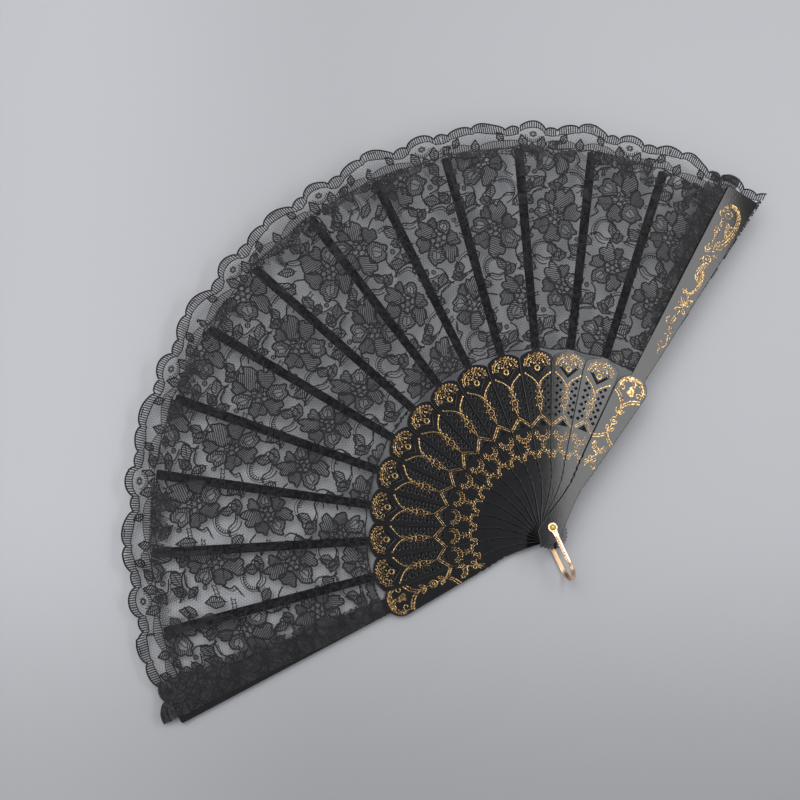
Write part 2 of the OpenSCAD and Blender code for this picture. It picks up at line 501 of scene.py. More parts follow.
def moustache(g, y, reach):
    g.twin(0.65, (0, y + 1.2), (0.4 * reach, y + 1), (0.75 * reach, y - 0.2), (reach, y - 1.8))
    g.mirrored(spiral(reach - 1.1, y - 2.1, 1.2, 0.35, 30, -290), 0.55)
    g.twin(0.45, (0, y + 0.3), (0.35 * reach, y), (0.6 * reach, y - 1.1))
    g.mirrored([(0.3 * reach, y + 1.1), (0.42 * reach, y + 2)], 0.4)
    g.mirrored([(0.6 * reach, y + 0.5), (0.85 * reach, y + 1.1)], 0.4)


def inner_print():
    g = Print(0.62)
    g.stroke(arc(0, 93.6, 7.5, -6, 186, 6.5), 0.42)
    g.stroke(arc(0, 93.6, 6.4, -2, 182, 5.5), 0.55)
    g.rays((93.6, 6.6, 5.7), (93.6, 7.6, 6.8), range(4, 180, 16), 0.36)
    for a in (22, 36, 50, 64, 78, 96, 124, 150):
        c, s = unit(a)
        g.dot(8.0 * c, 93.6 + 7.1 * s, 0.42)
    g.mirrored(spiral(5.2, 93.6, 1.4, 0.4, 20, 330), 0.45)
    g.twin(0.5, (0.4, 97.2), (2.4, 98.6), (4.4, 97.4))
    g.mirrored(spiral(2.7, 96.4, 1.2, 0.4, 200, -120), 0.45)
    g.curve(0.65, (0.3, 93.6), (-0.8, 95.2), (0.6, 97), (0, 99.2))
    for x, y in ((-1.7, 94.8), (1.6, 94.6), (-3.6, 95.4), (3.7, 95.2)):
        g.dot(x, y, 0.5)
    g.stroke(arc(0, 91.9, 1.35, 0, 360, n=17), 1)
    g.twin(0.8, (7.4, 89), (6.3, 88.3), (3.3, 86.1), (1.3, 83.9), (0, 81.5))
    g.twin(0.5, (1.9, 83.4), (0.9, 81.5), (0, 80))
    for side in (-1, 1):
        g.dot(side * 7.2, 88.9, 0.55)
    g.stroke([(-1.2, 80.6), (0, 78.6), (1.2, 80.6)], 0.45)
    g.dot(0, 78.2, 0.55)
    chain(g, [(76.3, 0.95, 1.2), (73.2, 1.6, 1.9), (70.2, 0.95, 1.1), (68.2, 0.6, 0.9)])
    g.twin(0.4, (0.5, 77.4), (1.7, 77.9), (1.9, 79))
    g.twin(0.4, (0.9, 75.3), (2.1, 75.4), (2.5, 74.2))
    g.twin(0.4, (0.9, 71.2), (2, 71), (2.2, 69.9))
    g.stroke([(0, 67.4), (0, 64.6)], 0.5)
    g.mirrored([(0, 65.3), (6.1, 59.1)], 0.55)
    g.mirrored([(0, 63.8), (5.9, 57.8)], 0.5)
    crescent(g, 54.4, 4.2)
    g.stroke([(0, 50), (0, 44.8)], 0.55)
    g.mirrored([(0, 47.2), (1.6, 48.5)], 0.45)
    g.mirrored([(0, 46), (1.3, 46.8)], 0.4)
    moustache(g, 43.4, 4.1)
    return g.mesh("inner_print")


def guard_print():
    g = Print(0.78)
    g.stroke(arc(0, 92.6, 8.2, -14, 194, 6.9), 0.45)
    g.stroke(arc(0, 92.6, 7.2, -10, 190, 6), 1.15)
    g.stroke(arc(0, 92.6, 6.1, -6, 186, 5.1), 0.4)
    g.rays((92.6, 7.2, 6), (92.6, 8.6, 7.3), range(-8, 190, 11), 0.42)
    g.mirrored(spiral(5.2, 91, 2.1, 0.5, -30, 340), 0.65)
    for x, y, r in ((0.6, 91, 1.8), (0.1, 92.8, 1.5), (1.4, 89.8, 1.2), (-0.6, 90.2, 1.3),
                    (0.3, 94.4, 1)):
        g.dot(x, y, r)
    g.curve(1, (0.3, 93.6), (0.9, 95.6), (-0.5, 97.9))
    g.twin(0.6, (0, 95), (1.7, 96.7), (3.5, 96.3))
    g.twin(0.95, (8.3, 87.5), (5.6, 86.3), (2.7, 84), (0.9, 81.6), (0, 79.4))
    g.twin(0.85, (7.6, 88.9), (5, 87.7), (2.1, 85.6), (0, 82.4))
    for y in (77.8, 66):
        g.twin(0.6, (0.2, y - 1.6), (1.7, y - 0.7), (2.5, y + 1.5), (1.1, y + 1.1), (0.2, y - 1.6))
        g.twin(0.4, (0.2, y - 1.4), (1.4, y + 0.3))
    g.stroke([(0, 80), (0, 73.8)], 0.5)
    g.stroke(arc(0, 71.6, 1.9, 0, 360, 2.2, 17), 0.75)
    g.stroke(arc(0, 71.6, 0.7, 0, 360, n=11), 0.6)
    g.stroke([(0, 69.2), (0, 62.8)], 0.5)
    g.twin(0.9, (0, 63.8), (2.9, 60.7), (6.6, 58.5))
    g.twin(0.75, (0, 61.9), (2.8, 59.1), (6.1, 57))
    crescent(g, 54.4, 4)
    g.curve(0.7, (0, 50.2), (0.8, 48.8), (-0.5, 46.8), (0, 44.2))
    g.twin(0.55, (0.1, 45.2), (1.6, 47), (2.3, 45.7), (0.3, 44.2))
    g.curve(0.6, (0, 44.4), (-1.7, 43.2), (-3.6, 40.8))
    g.curve(0.5, (-0.5, 43.8), (-2.4, 44), (-3.4, 43))
    g.curve(0.45, (-0.8, 43.2), (-1.6, 41.8), (-2, 40.2))
    g.curve(0.6, (0, 44.2), (1.6, 43.8), (2.8, 43))
    g.stroke(spiral(2.4, 41.6, 1.5, 0.4, 70, -250), 0.6)
    return g


def blade_print(g):
    """The paisley, rosette, feather and trailing stem on the front guard's blade."""
    outer = smooth([(-5.4, 213.6), (-5.2, 217.6), (-3.2, 220.3), (0.4, 220.7), (3.8, 218.4), (6.4, 213.6),
                    (7.3, 206), (6.6, 199.4), (4, 192.4), (0.6, 189.4), (-2.8, 187.6)])
    g.stroke(outer, 0.65)
    for k, w in ((0.88, 0.85), (0.75, 0.5)):
        g.stroke([(k * (x + 1) - 1, k * (y - 212) + 212 + (1 - k) * 2)
                  for x, y in outer[8:-16]], w)
    g.stroke(spiral(-1.6, 213.8, 3.2, 0.6, 170, -330), 0.6)
    g.curve(0.5, (-4.4, 211.2), (-6.2, 212), (-6.8, 214.2), (-5.4, 213.8))
    for dx in (0, 1):
        g.curve(0.5, (-4.4 + dx, 211.2), (-3.3 + dx, 208.4), (-3.0 + dx, 205))
    for x, y in ((-3.7, 203.6), (-2.2, 202.8), (-3.6, 201.2), (-2.2, 200.6)):
        g.stroke(arc(x, y, 0.8, 0, 360, n=9), 0.55)
    g.curve(0.55, (-2.9, 200), (-2.2, 197.5), (-2, 194.6))
    g.stroke(spiral(-1.4, 191.9, 2.2, 0.6, 100, 430), 0.6)
    g.curve(0.5, (-2.8, 192.8), (-3.9, 190), (-2.8, 187.4))
    g.curve(0.5, (-1, 189.8), (-2.8, 188.9), (-4.4, 189))
    for i in range(5):
        g.curve(0.42, (0.2 + 0.85 * i, 209.6 - 0.1 * i), (1.3 + 0.85 * i, 205.2), (3.2 + 0.6 * i, 200.4))
    for i in range(4):
        g.curve(0.42, (-0.2 + 0.95 * i, 196.0 + 0.6 * i), (0.3 + 0.85 * i, 193.6),
            (0.9 + 0.75 * i, 191.0 + 0.35 * i))
    for dx, dy in ((1.9, 1.2), (2.7, -0.2), (1.4, -1.6), (0.2, -1.9)):
        g.stroke([(2.4, 187.8), (2.4 + dx, 187.8 + dy)], 0.6, taper=True)
    g.stroke(arc(0.3, 183.8, 2.4, 0, 360, n=19), 0.7)
    g.stroke(spiral(0.3, 183.8, 1.3, 0.4, 0, 300), 0.55)
    g.curve(0.5, (-2, 183), (-3.2, 181.8), (-1.6, 180.2))
    g.curve(0.5, (1.6, 181.8), (3.1, 181.2), (2.4, 179.4))
    for i in range(4):
        g.curve(0.55, (0.0 + 0.5 * i, 180.6), (-1.4 + 1.15 * i, 175.2 - 0.3 * i),
            (-0.7 + 0.95 * i, 170.8 - 0.6 * i))
    g.curve(0.55, (-0.9, 172.2), (0.2, 169.8), (2.4, 168.6))
    for k in (0, 0.85, 1.6):
        g.curve(0.55, (3.4 - 0.5 * k, 176), (4.7 - k, 168.6 + 0.3 * k), (4.3 - 0.8 * k, 163.6 + 0.4 * k),
            (1.5 - 0.2 * k, 159.2 + k), (-1.7, 158.9 + k), (-3.2 + 0.3 * k, 161))
    g.stroke(spiral(-1.9, 161.2, 1.1, 0.4, 120, -160), 0.5)
    for x0, y0, x1, y1, w in ((1.8, 153.6, -1.8, 156, 0.8), (2, 154.4, 5.4, 157.2, 0.8),
                              (2.2, 152.4, 4.9, 153.6, 0.7), (1.6, 152, -1.8, 152.4, 0.7),
                              (1.5, 150, -2, 147.6, 0.8), (1.9, 150.4, 4.9, 147.2, 0.8),
                              (1.3, 146.4, 0.5, 137.4, 0.75)):
        g.loop(x0, y0, x1, y1, w)
    g.curve(0.7, (1.7, 159.4), (2.3, 154), (1.6, 150), (1.3, 146.2))
    g.stroke(arc(2, 153.4, 1, 0, 360, n=11), 0.6)
    g.curve(0.55, (0.6, 137.5), (-1.8, 138.2), (-2.9, 140.4), (-2, 142.2))
    g.curve(0.5, (0.5, 137.3), (2.2, 136.5), (4.2, 135.8), (4.3, 134.2), (2.9, 133.6), (2.2, 134.8))
    g.stroke([(1.7, 132.8), (0.3, 131.4)], 0.6, taper=True)
    g.curve(0.5, (0.6, 137.2), (2.1, 133.4), (3.1, 130.1), (4.3, 126.6), (3.3, 124), (1.4, 123.7))
    g.stroke(spiral(1.2, 125.6, 1.9, 0.5, -80, -400), 0.55)
    for x, y, r in ((4.2, 130.9, 0.45), (1.9, 122.2, 0.5), (1.9, 120.9, 0.45), (2.3, 119.7, 0.4)):
        g.dot(x, y, r)


# ---- sticks and guards
def build_sticks():
    outlines = [inner_outline()] + pierced_work() + [ring(0, 0, BORE_R)]
    stick_me = flat_piece("stick", outlines, 0, STICK_T, 0.26, PLASTIC)
    step_down(stick_me, 103.5, STICK_T)
    finish_moulding(stick_me, True)
    print_me = inner_print()
    print_me.transform(Matrix.Translation((0, 0, STICK_T * MM)))
    # dark sheets of painted shade across the openings
    painted_shade_sheets = painted_shade_mesh()
    for k in range(1, N + 1):
        name = f"stick_{k:02d}"
        piece(f"{name}_moulding", stick_me, k, body(k), [name])
        piece(f"{name}_gilding", print_me, k, body(k))
        piece(f"{name}_webs", painted_shade_sheets, k, body(k))


# half-widths of a guard's blade where it leaves the gorge and at its tip
BLADE_NECK, BLADE_TIP = 4.4, 10.2


def build_guards():
    cap = [p for p in ring(0, SHOULDER_S, GUARD["shoulder"], 72)
           if p[1] > SHOULDER_S + 0.1 and p[0] > BLADE_NECK + 0.05]
    blade = [(BLADE_NECK, 101.2), (BLADE_TIP, GUARD_LEN - 1), (BLADE_TIP - 1, GUARD_LEN)]
    outline = closed(lower_right(GUARD) + sorted(cap, key=lambda p: p[1]) + blade)
    for k, name in ((0, "guard_rear"), (N + 1, "guard_front")):
        me = flat_piece(name, [outline, ring(0, 0, BORE_R)], 0, GUARD_T, 0.35, PLASTIC)
        g = guard_print()
        if name == "guard_rear":
            step_down(me, 101.2, GUARD_T)
        else:
            blade_print(g)
        finish_moulding(me, False)
        piece(f"{name}_moulding", me, k, body(k), [name])
        gm = g.mesh(f"{name}_print")
        gm.transform(Matrix.Translation((0, 0, GUARD_T * MM)))
        piece(f"{name}_gilding", gm, k, body(k))


# ---- rivet and bail
def sweep(rings):
    """Vertices and faces of a rod through closed rings of points, its ends closed."""
    v = [p for r in rings for p in r]
    m = len(rings[0])
    f = []
    for i in range(len(rings) - 1):
        for j in range(m):
            a, b = i * m + j, i * m + (j + 1) % m
            f.append((a, b, b + m, a + m))
    f.append(tuple(reversed(range(m))))
    f.append(tuple(range(len(v) - m, len(v))))
    return v, f


DENTS = 26
DENT_DEPTH = 0.16
# rings of the bail's strip, from its lower end, that take the painted shade
PAINTED_SHADE_RINGS = 52


def bail_path():
    """Places along the middle of the strip, x and z in mm, with the strip's turn in degrees."""
    outer = (BAIL_Z1 + BAIL_T - BAIL_Z0) / 2
    mid_r = outer - BAIL_T / 2
    mid_z = BAIL_Z0 + outer
    bend = BAIL_REACH - outer
    path = [(x, mid_z - mid_r, 0.0) for x in np.linspace(1.6, bend, 34, endpoint=False)]
    path += [(bend + mid_r * sin(a), mid_z - mid_r * cos(a), degrees(a))
             for a in np.linspace(0, pi, 41)]
    path += [(x, mid_z + mid_r, 180.0) for x in np.linspace(bend, 1.6, 64)[1:]]
    return path, 2 * bend + pi * mid_r


def bail_profile(at, dents):
    """The strip's section, across and out in mm, with the hammered dents that lie near."""
    hw, ht = BAIL_W / 2, BAIL_T / 2
    section = []
    for u in np.linspace(-1, 1, 15):
        dent = 0.0
        for du, dy, dr in dents:
            q = ((at - du) / dr) ** 2 + ((u * hw - dy) / dr) ** 2
            if q < 4:
                dent = max(dent, DENT_DEPTH * exp(-1.6 * q))
        section.append((u * hw, ht * (1 - 0.55 * abs(u) ** 5) - dent))
    for u in np.linspace(1, -1, 9):
        section.append((u * hw, -ht * (1 - 0.5 * abs(u) ** 6)))
    return section


def build_bail():
    path, total = bail_path()
    dents = [(0.5 + 0.49 * i / DENTS + rng.uniform(-0.006, 0.006), rng.uniform(-1.15, -0.35),
              rng.uniform(0.32, 0.5)) for i in range(DENTS)]
    dents = [(share * total, y, r) for share, y, r in dents]
    rings, run = [], 0.0
    for i, (x, z, a) in enumerate(path):
        if i:
            run += hypot(x - path[i - 1][0], z - path[i - 1][1])
        c, s = unit(a)
        rings.append([(x + s * h, y, z - c * h) for y, h in bail_profile(run, dents)])
    me = mesh_from("bail_strip", *sweep(rings), GILT)
    # the lower arm and the start of the bend take the darker copy of the gilt: painted shade under the
    # upper arm
    me.materials.append(GILT_PAINTED_SHADE)
    for p in me.polygons[:len(rings[0]) * PAINTED_SHADE_RINGS]:
        p.material_index = 1
    me.shade_smooth()
    me.set_sharp_from_angle(angle=radians(60))
    o = linked("bail_strip", me)
    o.matrix_world = Matrix.Rotation(radians(BAIL_ANGLE), 4, "Z")
    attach(o, "bail_body")
    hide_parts("bail")
    # each eyelet is a round that runs out into the strip, in one drop
    drop = arc(0, 0, EYELET_R, 38, 322, n=40) + [(5.6, -BAIL_W / 2), (5.6, BAIL_W / 2)]
    drop = placed(drop, 0, 0, BAIL_ANGLE)
    for name, z in (("bail_eyelet_lower", BAIL_Z0), ("bail_eyelet_upper", BAIL_Z1)):
        e = flat_piece(name, [drop, ring(0, 0, BORE_R)], z, z + BAIL_T, 0.25, GILT)
        piece(name, e, None, "bail_body", ())


def build_rivet():
    for node in ("rivet_pin", "rivet_cap"):
        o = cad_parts[node]
        o.data.materials.clear()
        o.data.materials.append(BRASS)


build_sticks()
build_guards()
build_bail()
build_rivet()


# ---- lace pattern
TIP = 222.0
COLUMN, ROW = 52.0, 42.0


class Pattern:
    """Lace motifs drawn flat, in mm: filled shapes as rows of thread, outlines and veins as cord."""

    def __init__(self):
        self.fill, self.cord = [], []

    def hatch(self, poly, angle, pitch, w):
        p = np.array(poly, float)
        c, s = unit(angle)
        rot = np.array([[c, s], [-s, c]])
        q = p @ rot.T
        q2 = np.roll(q, -1, axis=0)
        y = floor(q[:, 1].min() / pitch) * pitch + pitch * 0.5
        while y < q[:, 1].max():
            cut = ((q[:, 1] <= y) & (q2[:, 1] > y)) | ((q2[:, 1] <= y) & (q[:, 1] > y))
            a, b = q[cut], q2[cut]
            xs = np.sort(a[:, 0] + (y - a[:, 1]) / (b[:, 1] - a[:, 1]) * (b[:, 0] - a[:, 0]))
            for x0, x1 in zip(xs[::2], xs[1::2]):
                if x1 - x0 > 0.25:
                    ends = np.array([[x0, y], [x1, y]]) @ rot
                    self.fill.append((ends[0], ends[1], w))
            y += pitch

    def line(self, pts, w):
        pts = np.array(pts, float)
        for a, b in zip(pts[:-1], pts[1:]):
            self.cord.append((a, b, w))

    def shape(self, pts, angle, w, pitch):
        pts = list(pts)
        self.hatch(pts, angle, pitch, 0.7 if pitch > 0.9 else 0.62)
        self.line(pts + pts[:1], w)

    def petal(self, x, y, length, width, turn, fill, pitch, hollow):
        """An uneven oval, notched at its outer end, with an open middle if hollow."""
        def outline(k):
            pts = []
            for t in range(0, 360, 12):
                a = radians(t)
                r = 1 - 0.3 * exp(-(remainder(a - 0.25, 2 * pi) / 0.22) ** 2)
                r += 0.1 * sin(3 * a + x) + 0.08 * sin(5 * a + y) + 0.04 * sin(9 * a + x * y)
                pts.append((k * length / 2 * r * cos(a), k * width / 2 * r * sin(a)))
            return placed(pts + pts[:1], x, y, turn)
        out = outline(1)
        self.line(out, 0.95)
        if hollow:
            inner = outline(hollow)
            self.hatch(out + inner[::-1], fill, pitch, 0.7)
            self.line(inner, 0.5)
            vein = [(-0.25 * length, 0), (0.3 * hollow * length, 0)]
            self.line(placed(vein, x, y, turn), 0.5)
        else:
            self.hatch(out, fill, pitch, 0.72 if pitch > 0.9 else 0.66)

    def leaf(self, x, y, length, width, turn, pitch=1.1):
        up = [(length * t, width / 2 * sin(pi * t ** 0.8) * (1 + 0.1 * sin(14 * t)))
              for t in np.linspace(0, 1, 11)]
        out = up + [(a, -b) for a, b in reversed(up[1:-1])]
        self.shape(placed(out, x, y, turn), turn + 62, 0.8, pitch)
        self.line(placed([(-1, 0), (0.75 * length, 0)], x, y, turn), 0.5)

    def window(self, x, y, r, a0, a1):
        uneven = []
        for t in np.linspace(radians(a0 - 50), radians(a1 + 70), 28):
            q = r + 0.3 * sin(3 * t)
            uneven.append((x + q * cos(t), y + q * sin(t)))
        self.line(uneven, 0.65)
        self.line(arc(x, y, r + 1.3, a0 - 20, a1 + 20, n=18), 0.4)
        for a in np.arange(a0, a1, 12):
            c, s = unit(a)
            self.line([(x + r * c, y + r * s), (x + (r - 1.9) * c, y + (r - 1.9) * s)], 0.55)

    def ladder(self, x, y, length, turn):
        """Two zigzag rails with rungs between them."""
        gap = 1.9
        for i in range(2):
            rail = [(t, gap * i + 0.25 * (-1) ** j)
                    for j, t in enumerate(np.arange(0.6 * i, length - 0.3 * i, 1.1))]
            self.line(placed(rail, x, y, turn), 0.52)
        for t in np.arange(1.0, length - 1, 2.2):
            self.line(placed([(t, 0), (t, gap)], x, y, turn), 0.4)

    def stepped(self, pts):
        """A stem of two lines, tied together by short steps."""
        pts = smooth(pts, 3)
        apart = 1.12
        self.line(pts, 0.8)
        self.line([(x - apart, y - apart) for x, y in pts], 0.45)
        for x, y in pts[1::3]:
            self.line([(x, y), (x - apart, y - apart)], 0.35)


def blossom(p, x, y, f, lively, size):
    """A broad blossom about 30 mm by 24 mm at size 1. f mirrors it, lively turns its fills."""
    for u, v, ln, w, t, fill, pitch, hollow in (
            (5, 9.8, 15.5, 11.5, 70, 35, 1.1, 0), (10.6, 2.2, 10, 10.5, 12, 120, 0.85, 0),
            (6.8, -8.6, 13, 12, -50, 48, 1.1, 0.5), (-2.6, -11.6, 13.5, 9.5, -98, 140, 1.1, 0),
            (-9.2, -4.6, 9.5, 10, -150, 60, 0.85, 0), (-8.4, 5.4, 11, 10.5, 150, 15, 1.1, 0.52),
            (-2.8, 12, 8.5, 7, 104, 75, 0.85, 0)):
        turn = t if f > 0 else 180 - t
        p.petal(x + f * u * size, y + v * size, ln * size, w * size, turn, fill * f + lively, pitch, hollow)
    for i in range(6):
        a = 60 * i + 20 + lively
        c, s = unit(a)
        p.line(arc(x + 3.4 * c, y + 3.4 * s, 1.8, 0, 360, 1.5, 9), 0.7)
    for i in range(5):
        a = radians(72 * i + lively)
        p.line(arc(x + 1.4 * cos(a), y + 1.4 * sin(a), 0.5, 0, 360, n=6), 0.45)
    p.line([(x + f * 3.5, y + 4.8), (x + f * 9, y + 6)], 0.55)
    p.line([(x - f * 3, y - 4), (x - f * 9.5, y - 5.2)], 0.55)


def column_of_motifs(p, x, y, f, odd):
    size = 0.92 if y > -20 else 0.8
    blossom(p, x, y, f, 25 * odd, size)
    for u, v, ln, w, t, pitch in ((7, -18, 10, 6, -35, 1.1), (15.5, -10.5, 9.5, 5.2, -30, 0.85),
                                  (-14, 9, 8.5, 5, 138, 1.1), (14.5, 12, 9, 5.2, 30, 1.1),
                                  (20, -1.5, 9.5, 6.2, -85, 1.1), (-17.5, 15.5, 9, 5.6, 70, 0.85),
                                  (5, -22.5, 9.5, 5.4, 205, 0.85), (-3, -16.5, 8, 5.4, -80, 1.1)):
        p.leaf(x + f * u, y + v, ln, w, t if f > 0 else 180 - t, pitch=pitch)
    a0, a1 = (70, 210) if f > 0 else (-30, 110)
    p.window(x - f * (7.0 + 2 * odd), y - 21.5, 6.8, a0, a1)
    for pts in (((-12.5, -3), (-14.5, -8), (-12.8, -10.5), (-17, -14)),
                ((16.5, 18), (12, 19), (8, 16.5), (2, 17.5)),
                ((-6, 17), (-13, 15.5), (-15.5, 11), (-21, 11.5)),
                ((11, -16.5), (17.5, -16), (19, -11.5), (24, -12))):
        p.stepped([(x + f * u, y + v) for u, v in pts])
    for w, *pts in ((0.9, (13, 5), (18, 7.5), (22, 6), (27, 9)),
                    (0.9, (-3, -15.5), (-1, -19), (2.5, -21), (1, -26)),
                    (0.85, (-4, 16.5), (-9.5, 18.5), (-15, 17.5), (-22, 20)),
                    (0.85, (10, -12), (7, -15.5), (8, -22), (6.5, -26))):
        p.line(smooth([(x + f * u, y + v) for u, v in pts]), w)
    for u, v, ln, t in ((-13, 1, 8.5, 196), (14.5, -1.5, 8.5, -14), (15, -20, 9, -20), (-19, -8, 8, 185)):
        p.ladder(x + f * u, y + v, ln, t if f > 0 else 180 - t)
    for u, v, r in ((-14.8, 4.6, 1.3), (13, -13.5, 1.4), (20.5, 6, 1.6)):
        p.shape(arc(x + f * u, y + v, r, 0, 330, n=8), 40, 0.5, 0.85)
    p.leaf(x + f * 22, y + 2, 10.5, 6.2, 70 if f > 0 else 110)
    p.leaf(x - f * 21.5, y - 5, 10.5, 6, 100 if f > 0 else 80, pitch=0.9)


def field():
    """Motifs round one blossom at (0, 0), in columns that stand a repeat apart."""
    p = Pattern()
    for col in (-1, 0, 1):
        for row in range(-3, 3):
            column_of_motifs(p, col * COLUMN + 1.3 * (row % 2), row * ROW - 9.0 * col,
                             1 if row % 2 == 0 else -1, row % 2)
    return p


# places of the round eyes along the border, in mm from the rear guard's side
EYES = (-66, -1.2, 65.6, 132.4, 199, 266.6, 334, 401.5, 469.5, 528.5, 590.8, 656, 722)
# lobes from one eye to the next: shares of the way, height of both ends, bulge between them
LOBES = ((-0.125, 0.125, 232.4, 232.4, 4.9), (0.125, 0.25, 232.4, 232.9, 1.5),
         (0.25, 0.46, 232.9, 235, 2.7), (0.46, 0.755, 235, 231.9, 4),
         (0.755, 0.875, 231.9, 232.4, 1.6))


# leaves from one eye to the next: share of the way, height, length, width, degrees
SPRIGS = ((0.29, 225.4, 6, 4, 60), (0.72, 226.4, 6, 3.8, 120), (0.07, 220.6, 8, 5, 75),
          (0.16, 222.4, 7.5, 4.6, 30), (0.47, 221.4, 7, 4.6, 85), (0.93, 220.6, 8.5, 5.2, 105),
          (0, 219.4, 5, 4, 95), (0.34, 219.2, 6.5, 3.6, 10), (0.66, 219, 6.5, 3.6, 170))


def edge(s):
    """Height of the scalloped edge at s mm along the border."""
    share = np.interp(s, EYES, np.arange(len(EYES)))
    share = np.mod(share + 0.125, 1.0) - 0.125
    y = np.full(np.shape(s), 232.4)
    for a, b, ya, yb, bulge in LOBES:
        u = (share - a) / (b - a)
        arch = np.maximum(0, 1 - (2 * u - 1) ** 2) ** 0.7
        y = np.where((u >= 0) & (u <= 1), ya + (yb - ya) * u + bulge * arch, y)
    return y


def ribbed_band(p, xs, top, depth, w):
    """A strip of upright ribs between two wavy lines, its lower line given by depth."""
    rim = list(zip(xs, top))
    foot = [(x, y - d) for (x, y), d in zip(rim, depth)]
    p.hatch(rim + foot[::-1], 90, 1.3, w)
    return rim, foot


def border():
    p = Pattern()
    for n, (e0, e1) in enumerate(zip(EYES[:-1], EYES[1:])):
        span = e1 - e0
        for i, (a, b, _, _, _) in enumerate(LOBES):
            u = np.linspace(0, 1, 17)
            xs = e0 + (a + (b - a) * u) * span
            swell = np.sin(pi * u)
            deep = 3.3 + (0.6 if i == 0 else 2.2 + 0.6 * sin(2.3 * i + n)) * swell
            rim, foot = ribbed_band(p, xs, edge(xs) - 0.1, deep, 0.72)
            p.line(rim, 0.9)
            p.line(foot, 0.55)
            if i == 3:
                p.line([(x, y - 1.3) for x, y in rim[4:9]], 0.5)
        # the eye: an open round with a small flower, closed below by a ribbed arc
        cy = 230.6
        for j in range(6):
            t = radians(60 * j + 20 * n)
            p.line(arc(e0 + 1.5 * cos(t), cy - 1.2 + 1.1 * sin(t), 0.55, 0, 360, n=6), 0.5)
        low = arc(e0, cy, 6.4, 205, 335, 6, n=15)
        p.hatch(low + arc(e0, cy, 4.6, 335, 205, 4.2, n=15), 90, 1.15, 0.6)
        p.line(low, 0.5)
        # a second ribbed band half-way down, broken over the eyes
        for a, b, y0, rise in ((0.13, 0.44, 224.6, 2.6), (0.5, 0.87, 223.8, 3)):
            u = np.linspace(0, 1, 21)
            xs = e0 + (a + (b - a) * u) * span
            top = y0 + rise * np.sin(pi * u) ** 0.8 + 0.3 * np.sin(7 * u + n)
            rim, foot = ribbed_band(p, xs, top, 1.2 + 4.0 * np.sin(pi * u) ** 0.6, 0.6)
            p.line(rim, 0.4)
            p.line(foot[::-1], 0.5)
        for share, y, ln, w, t in SPRIGS:
            p.leaf(e0 + share * span, y, ln, w, t)
    return p


def as_arrays(p):
    out = []
    for part in (p.fill, p.cord):
        out.append((np.array([[a, b] for a, b, _ in part]), np.array([w for _, _, w in part])))
    return out


FIELD, BORDER = as_arrays(field()), as_arrays(border())


ROW_SHARE, SIDE_SHARE = 0.866, 0.577


def hex_net(x0, x1, y0, y1, pitch):
    """Threads of a net of hexagons; rows and sides are shares of the pitch across."""
    i, j = np.meshgrid(np.arange(-1, int((x1 - x0) / pitch) + 2),
                       np.arange(-1, int((y1 - y0) / (pitch * ROW_SHARE)) + 2))
    a = np.stack([x0 + (i + 0.5 * (j % 2)) * pitch, y0 + j * pitch * ROW_SHARE], -1).reshape(-1, 2)
    b = a + [0, pitch * SIDE_SHARE]
    up1, up2 = a + [pitch / 2, pitch * ROW_SHARE], a + [-pitch / 2, pitch * ROW_SHARE]
    return np.concatenate([np.stack(s, 1) for s in ((a, b), (b, up1), (b, up2))])


def clip(seg, w, normal, limit):
    """Cuts segments to the half-plane where normal . p <= limit."""
    d = seg @ np.array(normal) - limit
    keep = d.min(1) < 0
    seg, w, d = seg[keep].copy(), w[keep], d[keep]
    for one, two in ((0, 1), (1, 0)):
        out = d[:, one] > 0
        f = (d[out, one] / (d[out, one] - d[out, two]))[:, None]
        seg[out, one] += f * (seg[out, two] - seg[out, one])
    return seg, w


def split(seg, w):
    """Splits segments into lengths of at most 1.5 mm, so that they can follow the folds."""
    ln = np.linalg.norm(seg[:, 1] - seg[:, 0], axis=1)
    n = np.maximum(1, np.ceil(ln / 1.5).astype(int))
    idx = np.repeat(np.arange(len(seg)), n)
    step = np.arange(len(idx)) - np.repeat(np.cumsum(n) - n, n)
    a, d = seg[idx, 0], (seg[idx, 1] - seg[idx, 0]) / n[idx][:, None]
    return np.stack([a + d * step[:, None], a + d * (step[:, None] + 1)], 1), w[idx]


def turned(seg, deg, pivot=0.0):
    """Turns segments about a point at pivot mm up the middle."""
    c, s = unit(deg)
    return (seg - [0, pivot]) @ np.array([[c, s], [-s, c]]) + [0, pivot]


